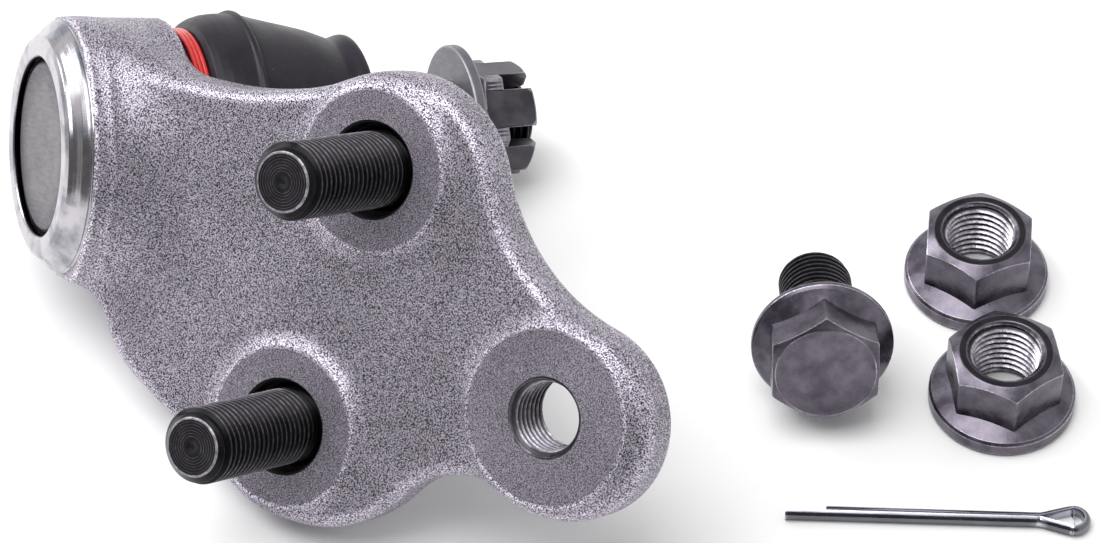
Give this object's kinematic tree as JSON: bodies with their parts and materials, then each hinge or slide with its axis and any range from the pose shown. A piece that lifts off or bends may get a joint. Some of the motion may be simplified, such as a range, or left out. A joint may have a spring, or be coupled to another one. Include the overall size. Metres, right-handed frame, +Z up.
{
  "type": "suspension ball joint",
  "caption": "Bolt-on suspension ball joint: forged bracket with a booted swinging ball stud, castle nut, pressed-in mounting studs and a tapped hole, with its loose bolt, nuts and cotter pin.",
  "frame": {"origin": "bottom centre of the whole laid-out set, on the surface it lies on", "axes": "+Z up from the surface; +X towards the loose hardware, to the right as pictured; +Y away from the viewer"},
  "size_m": [0.1752, 0.1076, 0.0712],
  "materials": {
    "forging": "shot-blasted steel forging, grey, with turned bright rim",
    "cap": "smooth dull grey pressed steel",
    "inner_steel": "plain hidden spring steel",
    "seat": "natural polymer bearing seat",
    "ball_stud": "ground and oiled steel",
    "boot": "matte black moulded rubber",
    "clamp": "vivid red coated wire",
    "phosphate": "black phosphate with bright thread crests",
    "washer": "dull mid-grey steel",
    "zinc": "bluish zinc plate"
  },
  "bodies": {
    "bracket": {"housing": "forging", "end_cap": "cap", "preload_washer": "inner_steel", "cap_side_seat": "seat", "stud_side_seat": "seat", "boot_clamp_ring": "clamp", "upper_plate_stud": "phosphate", "lower_plate_stud": "phosphate"},
    "boot_sleeve": {"dust_boot": "boot"},
    "boot_end": {"boot_lip_ring": "inner_steel"},
    "stud": {"ball_stud": "ball_stud", "castle_nut": "phosphate"},
    "captive_washer": {"nut_washer": "washer"},
    "bolt": {"flange_bolt": "phosphate"},
    "nut_a": {"flange_nut_a": "phosphate"},
    "nut_b": {"flange_nut_b": "phosphate"},
    "cotter": {"cotter_pin": "zinc"}
  },
  "joints": [
    {"name": "stud_swing_a", "type": "hinge", "parent": "bracket", "child": "boot_sleeve", "pos_m": [-0.06694, 0.02326, 0.02651], "axis": [-0.3898, 0.7018, -0.5963], "range_deg": [-11.2, 18.8], "deforming": ["dust_boot"]},
    {"name": "stud_swing_b", "type": "hinge", "parent": "boot_sleeve", "child": "boot_end", "pos_m": [-0.06694, 0.02326, 0.02651], "axis": [-0.0157, 0.6423, 0.7663], "range_deg": [-14.8, 15.2], "deforming": ["dust_boot"]},
    {"name": "stud_spin", "type": "hinge", "parent": "boot_end", "child": "stud", "pos_m": [-0.06694, 0.02326, 0.02651], "axis": [0.9221, 0.3056, -0.2373], "continuous": true},
    {"name": "washer_spin", "type": "hinge", "parent": "stud", "child": "captive_washer", "pos_m": [-0.01373, 0.0409, 0.01282], "axis": [0.9221, 0.3056, -0.2373], "continuous": true},
    {"name": "bolt_lift", "type": "slide", "parent": "bracket", "child": "bolt", "axis": [0, 0, 1], "range_m": [0, 0.08]},
    {"name": "nut_a_lift", "type": "slide", "parent": "bracket", "child": "nut_a", "axis": [0, 0, 1], "range_m": [0, 0.08]},
    {"name": "nut_b_lift", "type": "slide", "parent": "bracket", "child": "nut_b", "axis": [0, 0, 1], "range_m": [0, 0.08]},
    {"name": "cotter_lift", "type": "slide", "parent": "bracket", "child": "cotter", "axis": [0, 0, 1], "range_m": [0, 0.08]}
  ]
}
